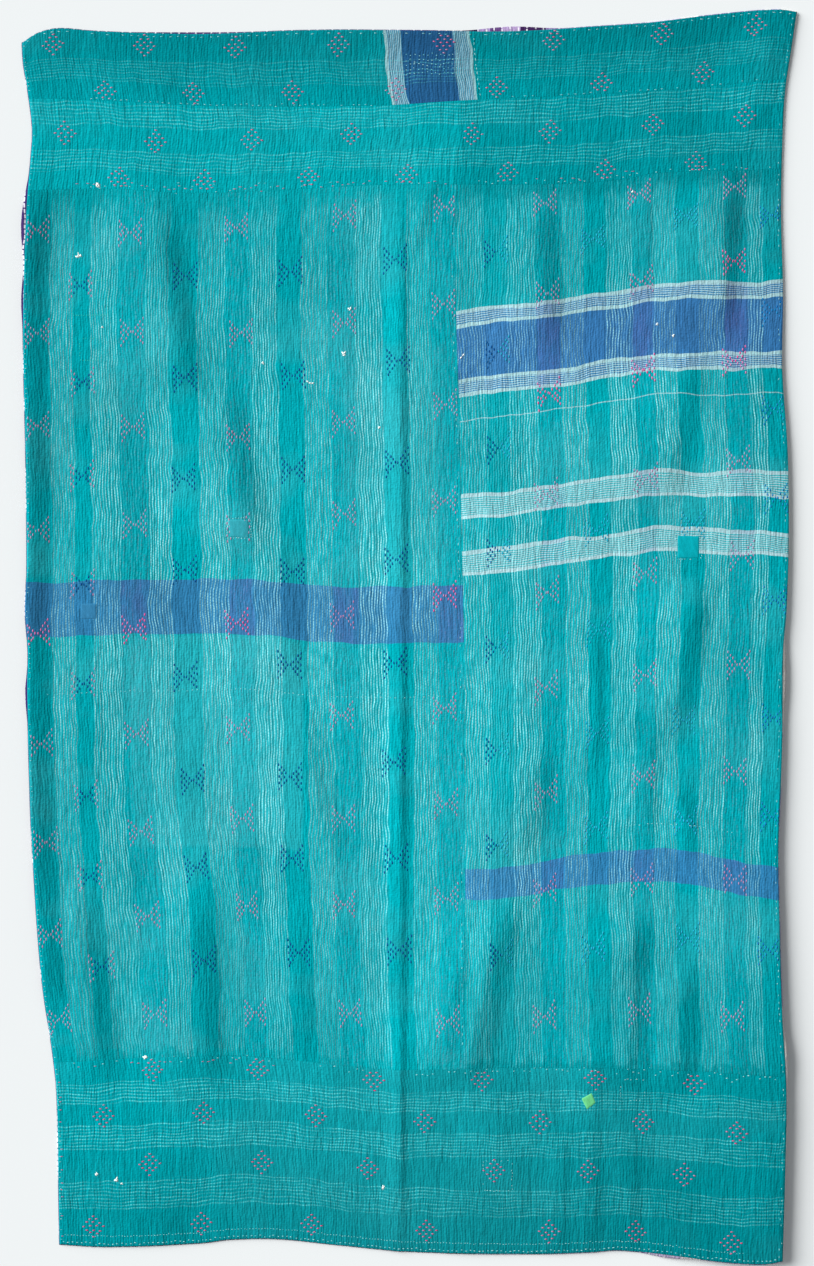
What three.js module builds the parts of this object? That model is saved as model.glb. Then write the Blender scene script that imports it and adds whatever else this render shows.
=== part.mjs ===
// A kantha quilt: old sari cloth in panels over a backing, run together by hand,
// laid out flat with the soft folds that it was stored and carried in.
// Millimetres. +X runs across the quilt, +Y up to its head, +Z off the surface it lies on.

import * as THREE from 'three';

// Driving dimensions.
const FRONT_THICKNESS = 1.5;
const BACKING_THICKNESS = 1.3;
const CLOTH_GAP = 0.3;

// Cells of the grid that all the cloth shares. Every seam lies on one of its lines.
const CELLS_LEFT_OF_SEAM = 23;
const CELLS_RIGHT_OF_SEAM = 18;
const CELLS_IN_FOOT_BORDER = 5;
const CELLS_IN_FIELD = 18;
const CELLS_IN_HEAD_BORDER = 3;
const CELLS_IN_HEADER_STRIP = 2;

// Extra lines beside the storage crease, as shares of the way from the left edge to the seam.
const CREASE_LINES = [0.857, 0.885, 0.898];

const table = (names, rows) =>
  rows.map((row) => Object.fromEntries(names.map((name, column) => [name, row[column]])));

// The left and right edges and the upright seam: x at each height y.
const LEFT_EDGE = table(['y', 'x'], [
  [-1018, -584], [-900, -586], [-760, -589], [-692, -596], [-610, -608], [-500, -618],
  [-370, -627], [-290, -631], [-91, -636], [-25, -635], [42, -640], [110, -637],
  [310, -639], [510, -643], [727, -637], [794, -632], [844, -629], [910, -637],
  [961, -645], [1040, -647],
]);
const RIGHT_EDGE = table(['y', 'x'], [
  [-1039, 619.5], [-890, 624], [-758, 626], [-625, 619], [-490, 615.5], [-358, 613.5],
  [-190, 620], [-25, 622], [42, 628], [176, 632], [310, 630], [443, 621.5],
  [577, 623], [710, 620], [844, 623], [910, 627], [978, 637], [1040, 646],
]);
const UPRIGHT_SEAM = table(['y', 'x'], [
  [-1030, 95], [-720, 94], [-392, 93], [-16, 91], [226, 86], [360, 84], [535, 78],
  [749, 79], [890, 88], [1015, 74],
]);

// The foot, the three cross seams and the head: y at each distance x across.
const FOOT_EDGE = table(['x', 'y'], [
  [-584, -1016], [-505, -1020], [-350, -1014], [-300, -1008], [-220, -1007], [-120, -1017],
  [0, -1028], [200, -1032], [300, -1029], [350, -1026], [450, -1035], [520, -1042],
  [590, -1044], [623, -1038],
]);
const FOOT_SEAM = table(['x', 'y'], [
  [-595, -712], [-300, -701], [-33, -724], [101, -722], [385, -722], [620, -733],
]);
const FIELD_HEAD_SEAM = table(['x', 'y'], [
  [-632, 742], [-505, 745], [-372, 738], [-236, 742], [-58, 751], [94, 752], [248, 753],
  [358, 761], [410, 771], [579, 776], [620, 779],
]);
const HEADER_SEAM = table(['x', 'y'], [
  [-634, 895], [-572, 895], [-450, 889], [-327, 883], [-58, 884], [94, 893], [318, 903],
  [485, 914], [628, 928],
]);
const HEAD_EDGE = table(['x', 'y'], [
  [-647, 988], [-620, 1005], [-585, 1013], [-530, 1009], [-460, 1006], [-340, 1004],
  [-180, 1010], [0, 1010], [130, 1008], [210, 1010], [300, 1016], [400, 1023],
  [490, 1034], [570, 1042], [620, 1044], [647, 1040],
]);

// Folds: each crest runs from its head end to its foot end, climbs gently on its left
// and drops more steeply on its right. Runs and rise are in millimetres.
const FOLDS = table(['headX', 'headY', 'footX', 'footY', 'rise', 'leftRun', 'rightRun'], [
  [-15, 860, -16, -400, 3.2, 34, 16],
  [-16, 0, -17, -1200, 3, 34, 16],
  [-438, 760, -374, 350, 8.4, 160, 54],
  [-326, 430, -262, 110, 7, 150, 54],
  [-226, 230, -206, -130, 4.5, 140, 50],
  [-200, -90, -128, -430, 4, 130, 50],
  [-572, -390, -510, -790, 6, 110, 50],
  [-374, -390, -334, -790, 6, 150, 50],
  [-200, -440, -184, -720, 2.2, 110, 36],
  [522, 800, 506, 470, 9, 170, 46],
  [466, 500, 414, 200, 5.6, 140, 50],
  [206, 780, 226, 440, 6.2, 130, 46],
  [388, 770, 390, 540, 2, 60, 24],
  [46, 790, -8, 620, 2.4, 70, 26],
  [309, 60, 306, -260, 2.6, 80, 20],
  [470, 110, 420, -200, 7.6, 150, 52],
  [214, -170, 176, -390, 3.4, 110, 44],
  [388, -150, 392, -350, 3, 80, 32],
  [454, -210, 458, -390, 2.8, 60, 28],
  [430, -240, 478, -335, 2, 20, 14],
  [152, -420, 78, -780, 8.4, 150, 54],
  [72, -520, 52, -720, 3.4, 90, 32],
  [360, -430, 353, -790, 8.6, 150, 52],
  [446, -530, 437, -790, 6.6, 100, 48],
  [306, -630, 302, -1060, 1.8, 60, 22],
  [606, 1040, 548, 790, 3, 90, 44],
  [252, -800, 250, -1060, 2, 50, 22],
  [369, -810, 369, -1060, 1.6, 50, 22],
]);
const FOLD_END_FADE = 0.3;

// The left edge lifts off the surface between these heights.
const EDGE_CURL = { rise: 8.5, run: 46, footY: -660, headY: 780, fade: 120 };

// How high the right edge stands off the surface at each height, and how far in the cloth
// takes to come down again.
const RIGHT_LIFT = table(['y', 'rise'], [
  [-1045, 16], [-750, 15], [-400, 11], [0, 7.5], [350, 4.5], [600, 1.5], [800, 0], [1045, 0],
]);
const RIGHT_LIFT_RUN = 250;

// The cloth's gentle waves: what dips under the surface lies flat on it.
const WAVES = table(['rise', 'lengthX', 'lengthY', 'phase'], [
  [1.5, 600, 5200, 0.6],
  [1.0, 258, -1650, 2.1],
  [0.8, -900, 820, 4.0],
]);
const WAVES_SINK = 1.1;

// How far the backing shows past the front at each edge.
const BACKING_MARGIN = 1.2;
const BACKING_PEEKS = {
  left: table(['at', 'reach', 'spread'], [[690, 7, 90], [560, 3, 60], [-100, 3, 50]]),
  right: table(['at', 'reach', 'spread'], [[-70, 5, 95], [-700, 4, 60]]),
  foot: table(['at', 'reach', 'spread'], [[430, 4, 60]]),
  head: table(['at', 'reach', 'spread'], [[170, 7, 95], [-360, 2, 120]]),
};

const mix = (from, to, share) => from + (to - from) * share;
const clampShare = (value) => Math.min(1, Math.max(0, value));
const smooth = (value) => {
  const share = clampShare(value);
  return share * share * (3 - 2 * share);
};

// A smooth curve through a table's rows: a cubic in each span, with each row's slope
// taken from its two neighbours.
function curveThrough(rows, along, across) {
  const at = rows.map((row) => row[along]);
  const value = rows.map((row) => row[across]);
  const last = rows.length - 1;
  const slope = value.map((_, row) => {
    const before = Math.max(0, row - 1);
    const after = Math.min(last, row + 1);
    return (value[after] - value[before]) / (at[after] - at[before]);
  });
  return (place) => {
    const held = Math.min(at[last], Math.max(at[0], place));
    let row = 0;
    while (row < last - 1 && held > at[row + 1]) row += 1;
    const span = at[row + 1] - at[row];
    const share = (held - at[row]) / span;
    const rest = 1 - share;
    return (
      value[row] * rest * rest * (1 + 2 * share) +
      value[row + 1] * share * share * (3 - 2 * share) +
      span * share * rest * (slope[row] * rest - slope[row + 1] * share)
    );
  };
}

const leftX = curveThrough(LEFT_EDGE, 'y', 'x');
const seamX = curveThrough(UPRIGHT_SEAM, 'y', 'x');
const rightX = curveThrough(RIGHT_EDGE, 'y', 'x');
const rightLift = curveThrough(RIGHT_LIFT, 'y', 'rise');
const crossLines = [FOOT_EDGE, FOOT_SEAM, FIELD_HEAD_SEAM, HEADER_SEAM, HEAD_EDGE].map(
  (rows) => curveThrough(rows, 'x', 'y'),
);

// Height of one fold: its crest height, faded to nothing at both ends, times a smooth
// step up over the left run and down over the right run.
function foldHeight(fold, x, y) {
  const alongFold = (y - fold.footY) / (fold.headY - fold.footY);
  const crestX = mix(fold.footX, fold.headX, alongFold);
  const aside = x - crestX;
  const run = aside < 0 ? fold.leftRun : fold.rightRun;
  const ends = smooth(alongFold / FOLD_END_FADE) * smooth((1 - alongFold) / FOLD_END_FADE);
  return fold.rise * ends * smooth(1 - Math.abs(aside) / run);
}

function curlHeight(x, y) {
  const aside = x - leftX(y);
  const fromFoot = smooth((y - EDGE_CURL.footY) / EDGE_CURL.fade);
  const fromHead = smooth((EDGE_CURL.headY - y) / EDGE_CURL.fade);
  return EDGE_CURL.rise * fromFoot * fromHead * smooth(1 - aside / EDGE_CURL.run);
}

function liftHeight(x, y) {
  return rightLift(y) * smooth(1 - (rightX(y) - x) / RIGHT_LIFT_RUN);
}

function clothHeight(x, y) {
  const waves = WAVES.reduce((sum, wave) => {
    const turns = x / wave.lengthX + y / wave.lengthY;
    return sum + wave.rise * Math.sin(2 * Math.PI * turns + wave.phase);
  }, -WAVES_SINK);
  const folds = FOLDS.reduce((sum, fold) => sum + foldHeight(fold, x, y), 0);
  return Math.max(0, waves) + folds + curlHeight(x, y) + liftHeight(x, y);
}

// Where an upright grid line meets a cross line. "across" runs 0 to 1 from the left edge
// to the upright seam and 1 to 2 on to the right edge; "up" counts strips from the foot.
function gridPoint(across, up) {
  const strip = Math.min(crossLines.length - 2, Math.floor(up));
  let x = 0;
  let y = 0;
  for (let pass = 0; pass < 6; pass += 1) {
    y = mix(crossLines[strip](x), crossLines[strip + 1](x), up - strip);
    x = across < 1
      ? mix(leftX(y), seamX(y), across)
      : mix(seamX(y), rightX(y), across - 1);
  }
  return { x, y };
}

const evenShares = (cells, start) =>
  Array.from({ length: cells }, (_, cell) => start + cell / cells);
const acrossLines = [
  ...evenShares(CELLS_LEFT_OF_SEAM, 0),
  ...CREASE_LINES,
  ...evenShares(CELLS_RIGHT_OF_SEAM, 1),
  2,
].sort((one, other) => one - other);
const upLines = [
  ...evenShares(CELLS_IN_FOOT_BORDER, 0),
  ...evenShares(CELLS_IN_FIELD, 1),
  ...evenShares(CELLS_IN_HEAD_BORDER, 2),
  ...evenShares(CELLS_IN_HEADER_STRIP, 3),
  4,
];

// A closed sheet between two heights over a grid of places, with a wall round its rim.
function sheetGeometry(places, underside, thickness) {
  const rows = places.length;
  const columns = places[0].length;
  const layerSize = rows * columns;
  const positions = [0, thickness].flatMap((lift) =>
    places.flat().flatMap(({ x, y }) => [x, y, underside + lift + clothHeight(x, y)]),
  );
  const index = [];
  const point = (row, column, layer) => layer * layerSize + row * columns + column;
  for (let row = 0; row < rows - 1; row += 1) {
    for (let column = 0; column < columns - 1; column += 1) {
      const low = [0, 1].map((right) => point(row, column + right, 0));
      const high = [0, 1].map((right) => point(row + 1, column + right, 0));
      index.push(low[0], high[1], low[1], low[0], high[0], high[1]);
      const [a, b, c, d] = [low[0], low[1], high[1], high[0]].map((at) => at + layerSize);
      index.push(a, b, c, a, c, d);
    }
  }
  const rim = [];
  for (let column = 0; column < columns - 1; column += 1) rim.push([0, column]);
  for (let row = 0; row < rows - 1; row += 1) rim.push([row, columns - 1]);
  for (let column = columns - 1; column > 0; column -= 1) rim.push([rows - 1, column]);
  for (let row = rows - 1; row > 0; row -= 1) rim.push([row, 0]);
  rim.forEach(([row, column], place) => {
    const [nextRow, nextColumn] = rim[(place + 1) % rim.length];
    const here = point(row, column, 0);
    const next = point(nextRow, nextColumn, 0);
    index.push(here, next, next + layerSize, here, next + layerSize, here + layerSize);
  });
  const geometry = new THREE.BufferGeometry();
  geometry.setAttribute('position', new THREE.Float32BufferAttribute(positions, 3));
  geometry.setIndex(index);
  geometry.computeVertexNormals();
  return geometry;
}

// The grid places of one front panel, each seam edge drawn back by half the gap.
function panelPlaces(panel) {
  const inset = CLOTH_GAP / 2;
  const across = acrossLines.filter((at) => at >= panel.from && at <= panel.to);
  const up = upLines.filter((at) => at >= panel.foot && at <= panel.head);
  return up.map((upAt) =>
    across.map((acrossAt) => {
      const { x, y } = gridPoint(acrossAt, upAt);
      const insetX = (acrossAt === panel.from ? inset : 0) - (acrossAt === panel.to ? inset : 0);
      const insetY = (upAt === panel.foot ? inset : 0) - (upAt === panel.head ? inset : 0);
      return { x: x + insetX, y: y + insetY };
    }),
  );
}

// How far the backing reaches past the front at one place on an edge.
const peek = (peeks, at) =>
  peeks.reduce(
    (reach, row) => reach + row.reach * smooth(1 - Math.abs(at - row.at) / row.spread),
    BACKING_MARGIN,
  );

// The backing's grid places: the front's own, with one more ring round the edges.
function backingPlaces() {
  const across = [0, ...acrossLines, 2];
  const up = [0, ...upLines, 4];
  return up.map((upAt, row) =>
    across.map((acrossAt, column) => {
      const { x, y } = gridPoint(acrossAt, upAt);
      const left = column === 0 ? peek(BACKING_PEEKS.left, y) : 0;
      const right = column === across.length - 1 ? peek(BACKING_PEEKS.right, y) : 0;
      const foot = row === 0 ? peek(BACKING_PEEKS.foot, x) : 0;
      const head = row === up.length - 1 ? peek(BACKING_PEEKS.head, x) : 0;
      return { x: x - left + right, y: y - foot + head };
    }),
  );
}

// The front's panels, by their grid lines.
const PANELS = table(['name', 'from', 'to', 'foot', 'head', 'colour'], [
  ['foot_border', 0, 2, 0, 1, 0x0b8f8f],
  ['field_left', 0, 1, 1, 2, 0x1aa7a9],
  ['field_right', 1, 2, 1, 2, 0x14a3a8],
  ['head_border_left', 0, 1, 2, 3, 0x12a0a2],
  ['head_border_right', 1, 2, 2, 3, 0x0a9396],
  ['header_strip', 0, 2, 3, 4, 0x078a8e],
]);
const BACKING_COLOUR = 0x4a3263;

const cottonMesh = (name, geometry, colour) => {
  const cotton = new THREE.MeshStandardMaterial({ color: colour, roughness: 0.9, metalness: 0 });
  const mesh = new THREE.Mesh(geometry, cotton);
  mesh.name = name;
  return mesh;
};

const quilt = new THREE.Group();
quilt.name = 'kantha_quilt';
quilt.add(
  cottonMesh('backing', sheetGeometry(backingPlaces(), 0, BACKING_THICKNESS), BACKING_COLOUR),
);
PANELS.forEach((panel) => {
  const underside = BACKING_THICKNESS + CLOTH_GAP;
  const geometry = sheetGeometry(panelPlaces(panel), underside, FRONT_THICKNESS);
  quilt.add(cottonMesh(panel.name, geometry, panel.colour));
});

export default quilt;
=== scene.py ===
"""A kantha quilt of old teal sari cloth, laid out flat: front panels, backing, woven motifs and stitches.

Lengths in the tables are millimetres in the frame's own axes; meshes are made in metres.
"""

import math

import bpy
import numpy as np
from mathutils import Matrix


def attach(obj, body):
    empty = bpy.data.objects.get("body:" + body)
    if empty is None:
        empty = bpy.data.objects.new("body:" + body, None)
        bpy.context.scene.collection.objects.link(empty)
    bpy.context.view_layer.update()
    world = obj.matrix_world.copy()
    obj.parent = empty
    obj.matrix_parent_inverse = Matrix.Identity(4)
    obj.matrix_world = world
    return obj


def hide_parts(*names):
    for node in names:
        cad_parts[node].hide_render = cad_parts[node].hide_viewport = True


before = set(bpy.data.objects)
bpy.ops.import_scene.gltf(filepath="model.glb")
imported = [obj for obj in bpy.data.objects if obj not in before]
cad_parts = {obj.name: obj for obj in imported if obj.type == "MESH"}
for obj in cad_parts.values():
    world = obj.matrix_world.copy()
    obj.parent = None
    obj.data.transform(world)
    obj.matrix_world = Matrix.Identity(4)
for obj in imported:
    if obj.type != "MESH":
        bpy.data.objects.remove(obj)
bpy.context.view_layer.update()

MM = 0.001
RNG = np.random.default_rng(1947)

# ---------------------------------------------------------------- cloth sizes
BACKING_TOP = 1.3
FRONT_UNDERSIDE = 1.6
FRONT_TOP = 3.1
SEAM_GAP = 0.06

# ---------------------------------------------------------------- outline and seams
# Columns: distance along, place across.
LEFT_EDGE = np.array([
    (-1018, -584), (-900, -586), (-760, -589), (-692, -596), (-610, -608), (-500, -618),
    (-370, -627), (-290, -631), (-91, -636), (-25, -635), (42, -640), (110, -637),
    (310, -639), (510, -643), (727, -637), (794, -632), (844, -629), (910, -637),
    (961, -645), (1040, -647),
], float)
RIGHT_EDGE = np.array([
    (-1039, 619.5), (-890, 624), (-758, 626), (-625, 619), (-490, 615.5), (-358, 613.5),
    (-190, 620), (-25, 622), (42, 628), (176, 632), (310, 630), (443, 621.5),
    (577, 623), (710, 620), (844, 623), (910, 627), (978, 637), (1040, 646),
], float)
UPRIGHT_SEAM = np.array([
    (-1030, 95), (-720, 94), (-392, 93), (-16, 91), (226, 86), (360, 84), (535, 78),
    (749, 79), (890, 88), (1015, 74),
], float)
FOOT_EDGE = np.array([
    (-584, -1016), (-505, -1020), (-350, -1014), (-300, -1008), (-220, -1007), (-120, -1017),
    (0, -1028), (200, -1032), (300, -1029), (350, -1026), (450, -1035), (520, -1042),
    (590, -1044), (623, -1038),
], float)
FOOT_SEAM = np.array([
    (-595, -712), (-300, -701), (-33, -724), (101, -722), (385, -722), (620, -733),
], float)
FIELD_HEAD_SEAM = np.array([
    (-632, 742), (-505, 745), (-372, 738), (-236, 742), (-58, 751), (94, 752), (248, 753),
    (358, 761), (410, 771), (579, 776), (620, 779),
], float)
HEADER_SEAM = np.array([
    (-634, 895), (-572, 895), (-450, 889), (-327, 883), (-58, 884), (94, 893), (318, 903),
    (485, 914), (628, 928),
], float)
HEAD_EDGE = np.array([
    (-647, 988), (-620, 1005), (-585, 1013), (-530, 1009), (-460, 1006), (-340, 1004),
    (-180, 1010), (0, 1010), (130, 1008), (210, 1010), (300, 1016), (400, 1023),
    (490, 1034), (570, 1042), (620, 1044), (647, 1040),
], float)

# ---------------------------------------------------------------- folds
# Columns: head x, head y, foot x, foot y, rise, run up its left, run down its right.
FOLDS = np.array([
    (-15, 860, -16, -400, 3.2, 34, 16), (-16, 0, -17, -1200, 3, 34, 16), (-438, 760, -374, 350, 8.4, 160, 54),
    (-326, 430, -262, 110, 7, 150, 54), (-226, 230, -206, -130, 4.5, 140, 50),
    (-200, -90, -128, -430, 4, 130, 50), (-572, -390, -510, -790, 6, 110, 50),
    (-374, -390, -334, -790, 6, 150, 50), (-200, -440, -184, -720, 2.2, 110, 36),
    (522, 800, 506, 470, 9, 170, 46), (466, 500, 414, 200, 5.6, 140, 50),
    (206, 780, 226, 440, 6.2, 130, 46), (388, 770, 390, 540, 2, 60, 24),
    (46, 790, -8, 620, 2.4, 70, 26), (309, 60, 306, -260, 2.6, 80, 20),
    (470, 110, 420, -200, 7.6, 150, 52), (214, -170, 176, -390, 3.4, 110, 44),
    (388, -150, 392, -350, 3, 80, 32), (454, -210, 458, -390, 2.8, 60, 28),
    (430, -240, 478, -335, 2, 20, 14), (152, -420, 78, -780, 8.4, 150, 54),
    (72, -520, 52, -720, 3.4, 90, 32), (360, -430, 353, -790, 8.6, 150, 52),
    (446, -530, 437, -790, 6.6, 100, 48), (306, -630, 302, -1060, 1.8, 60, 22),
    (606, 1040, 548, 790, 3, 90, 44), (252, -800, 250, -1060, 2, 50, 22),
    (369, -810, 369, -1060, 1.6, 50, 22),
], float)
FOLD_END_FADE = 0.3
CURL_RISE, CURL_RUN, CURL_FOOT, CURL_HEAD, CURL_FADE = 8.5, 46, -660, 780, 120
# How high the right edge stands off the surface. Columns: y, rise.
RIGHT_LIFT = np.array([
    (-1045, 16), (-750, 15), (-400, 11), (0, 7.5), (350, 4.5), (600, 1.5), (800, 0), (1045, 0),
], float)
LIFT_RUN = 250
# Columns: rise, length across, length up, phase.
WAVES = np.array([(1.5, 600, 5200, 0.6), (1.0, 258, -1650, 2.1), (0.8, -900, 820, 4.0)])
WAVES_SINK = 1.1


def mix(start, end, share):
    """start + (end - start) * share"""
    return start + (end - start) * share


def smooth(value):
    """The soft step 3s^2 - 2s^3, with s held from 0 to 1."""
    share = np.clip(value, 0.0, 1.0)
    return share * share * (3.0 - 2.0 * share)


def curve_through(rows):
    """A function through the rows: a cubic in each span, each row's slope taken from its neighbours."""
    at, value = rows[:, 0], rows[:, 1]
    before = np.maximum(np.arange(len(at)) - 1, 0)
    after = np.minimum(np.arange(len(at)) + 1, len(at) - 1)
    slope = (value[after] - value[before]) / (at[after] - at[before])

    def place(where):
        held = np.clip(where, at[0], at[-1])
        row = np.clip(np.searchsorted(at, held, side="right") - 1, 0, len(at) - 2)
        span = at[row + 1] - at[row]
        share = (held - at[row]) / span
        rest = 1.0 - share
        return (
            value[row] * rest * rest * (1 + 2 * share)
            + value[row + 1] * share * share * (3 - 2 * share)
            + span * share * rest * (slope[row] * rest - slope[row + 1] * share)
        )

    return place


left_x, seam_x, right_x = map(curve_through, (LEFT_EDGE, UPRIGHT_SEAM, RIGHT_EDGE))
right_lift = curve_through(RIGHT_LIFT)
foot_y, foot_seam_y, field_head_y, header_y, head_y = map(
    curve_through, (FOOT_EDGE, FOOT_SEAM, FIELD_HEAD_SEAM, HEADER_SEAM, HEAD_EDGE)
)


LATTICE, LATTICE_SHIFT = 256, 1000.0


def lattice_noise(x, y, cell_x, cell_y, seed):
    """Random heights on a lattice of cells, joined by soft steps both ways, from -1 to 1."""
    heights = np.random.default_rng(seed).uniform(-1, 1, (LATTICE + 1, LATTICE + 1))
    across, up = x / cell_x + LATTICE_SHIFT, y / cell_y + LATTICE_SHIFT
    column, row = np.floor(across).astype(int), np.floor(up).astype(int)
    share_x, share_y = smooth(across - column), smooth(up - row)
    column, row = column % LATTICE, row % LATTICE
    low = mix(heights[row, column], heights[row, column + 1], share_x)
    high = mix(heights[row + 1, column], heights[row + 1, column + 1], share_x)
    return mix(low, high, share_y)


def fold_height(x, y):
    """Sum over the folds of rise x faded ends x a soft step down from the crest to each side's run."""
    total = np.zeros_like(x)
    for head_x, top_y, foot_x, low_y, rise, left_run, right_run in FOLDS:
        along = (y - low_y) / (top_y - low_y)
        aside = x - mix(foot_x, head_x, along)
        run = np.where(aside < 0, left_run, right_run)
        ends = smooth(along / FOLD_END_FADE) * smooth((1 - along) / FOLD_END_FADE)
        total += rise * ends * smooth(1 - np.abs(aside) / run)
    return total


def cloth_height(x, y):
    """Gentle waves cut off at the surface, plus the folds, the left edge's curl and the right edge's lift."""
    waves = np.full_like(x, -WAVES_SINK)
    for rise, length_x, length_y, phase in WAVES:
        waves += rise * np.sin(2 * np.pi * (x / length_x + y / length_y) + phase)
    ends = smooth((y - CURL_FOOT) / CURL_FADE) * smooth((CURL_HEAD - y) / CURL_FADE)
    curl = CURL_RISE * ends * smooth(1 - (x - left_x(y)) / CURL_RUN)
    lift = right_lift(y) * smooth(1 - (right_x(y) - x) / LIFT_RUN)
    return np.maximum(0.0, waves) + fold_height(x, y) + curl + lift


# Shallow gathers that the rows of stitches draw up. Columns: rise, width, length, seed.
GATHERS = [(0.25, 7.5, 60, 3), (0.22, 17, 95, 5), (0.3, 45, 140, 8)]
GATHERS_SHOWN = 0.8


def rumple(x, y):
    """Sum over the gathers of rise x noise as wide and as long as they are."""
    return sum(rise * lattice_noise(x, y, width, length, seed) for rise, width, length, seed in GATHERS)


# ---------------------------------------------------------------- panels in cloth coordinates
# How far the fields' weft lines bow up, in millimetres. First row: shares across. First column: shares up.
RIGHT_BOW = np.array([
    (0, 0.0, 0.15, 0.30, 0.45, 0.60, 0.75, 0.90, 1.0),
    (0.00, 0, 0, 0, 0, 0, 0, 0, 0),
    (0.22, 0, 2, 17, 25, 29, 24, 10, 4),
    (0.58, 0, 7, 19, 24, 29, 26, 24, 18),
    (0.65, 0, 8, 18, 26, 30, 27, 29, 24),
    (0.86, 0, 13, 19, 28, 30, 31, 31, 32),
    (1.00, 0, 0, 0, 0, 0, 0, 0, 0),
])
LEFT_BOW = np.array([
    (0, 0.0, 0.45, 0.55, 0.65, 1.0),
    (0.00, 0, 0, 0, 0, 0),
    (0.48, 11, 12, 10, 3, 3),
    (0.54, 11, 13, 10, 4, 4),
    (1.00, 0, 0, 0, 0, 0),
])


def bow_from(table):
    """A function of the shares across and up: each row's own curve, weighted up the cloth by its own hump."""
    shares_up = table[1:, 0]
    rows = [curve_through(np.stack([table[0, 1:], row], -1)) for row in table[1:, 1:]]
    humps = [curve_through(np.stack([shares_up, hump], -1)) for hump in np.eye(len(shares_up))]

    def bow(s, t):
        return sum(row(s) * hump(t) for row, hump in zip(rows, humps))

    return bow


# The stripes low down in the left field lean. First the share up where they lean most, and its reach; then
# each lean to the right, its share across and its reach.
LEAN_UP, LEAN_REACH = 0.13, 0.2
LEANS = [(15, 0.33, 0.3), (-7, 0.8, 0.2)]


def left_field_drift(s, t):
    """Sum over the leans of each one x a soft hump across the field, x a soft hump near its foot."""
    across = sum(lean * smooth(1 - np.abs(s - middle) / reach) for lean, middle, reach in LEANS)
    return smooth(1 - np.abs(t - LEAN_UP) / LEAN_REACH) * across


PLACE_ROUNDS, FIND_ROUNDS = 6, 12


class Panel:
    """A piece of cloth between four curves, with cloth coordinates u across and v up, in millimetres."""

    def __init__(self, node, u, v, sides, ends, bow=None, drift=None, outer=""):
        self.node, self.u, self.v = node, u, v
        self.sides, self.ends = sides, ends
        self.bow, self.drift, self.outer = bow, drift, outer

    def place(self, u, v):
        """x lies between the side curves, plus the drift, and y between the end curves, plus the bow."""
        s = (u - self.u[0]) / (self.u[1] - self.u[0])
        t = (v - self.v[0]) / (self.v[1] - self.v[0])
        x = u
        for _ in range(PLACE_ROUNDS):
            y = mix(self.ends[0](x), self.ends[1](x), t) + (self.bow(s, t) if self.bow else 0)
            x = mix(self.sides[0](y), self.sides[1](y), s)
        return x + (self.drift(s, t) if self.drift else 0), y

    def find(self, x, y):
        """The cloth coordinates of a place, by stepping towards it from x and y themselves."""
        u, v = x + 0.0, y - self.ends[0](x) + self.v[0]
        for _ in range(FIND_ROUNDS):
            near_x, near_y = self.place(u, v)
            u, v = u + x - near_x, v + y - near_y
        return u, v


PANELS = {panel.node: panel for panel in (
    Panel("header_strip", (-640, 630), (0, 122), (left_x, right_x), (header_y, head_y),
          outer="left right head"),
    Panel("head_border_left", (-632, 80), (0, 140), (left_x, seam_x), (field_head_y, header_y), outer="left"),
    Panel("head_border_right", (80, 624), (0, 140), (seam_x, right_x), (field_head_y, header_y),
          outer="right"),
    Panel("field_left", (-639, 85), (-722, 749), (left_x, seam_x), (foot_seam_y, field_head_y),
          bow=bow_from(LEFT_BOW), drift=left_field_drift, outer="left"),
    Panel("field_right", (79, 622), (-722, 749), (seam_x, right_x), (foot_seam_y, field_head_y),
          bow=bow_from(RIGHT_BOW), outer="right"),
    Panel("foot_border", (-588, 624), (0, 300), (left_x, right_x), (foot_y, foot_seam_y),
          outer="left right foot"),
)}

HEM_RUN, HEM_DROP, HEM_ROUND = 5.0, 1.1, 0.98
SEAM_RUN, SEAM_DROP = 5.0, 0.08


def edge_drop(panel, u, v):
    """How far the front sinks near the panel's rim: a quarter round outside, a shallow valley at seams."""
    drop = np.zeros_like(u)
    rims = {
        "left": u - panel.u[0], "right": panel.u[1] - u,
        "foot": v - panel.v[0], "head": panel.v[1] - v,
    }
    for name, inward in rims.items():
        run, deep = (HEM_RUN, HEM_DROP) if name in panel.outer else (SEAM_RUN, SEAM_DROP)
        share = np.clip(1 - inward / run, 0, 1)
        round_off = 1 - np.sqrt(1 - share * share * HEM_ROUND) if name in panel.outer else share * share
        drop = np.maximum(drop, deep * round_off)
    return drop


def front_top(panel, u, v):
    """Places on the front's upper face: the panel's x and y, and the cloth's height with gathers and hems."""
    x, y = panel.place(u, v)
    inside = 1 - smooth(edge_drop(panel, u, v) / HEM_DROP)
    z = FRONT_TOP + cloth_height(x, y) + inside * rumple(x, y) * GATHERS_SHOWN - edge_drop(panel, u, v)
    return x, y, z


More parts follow.
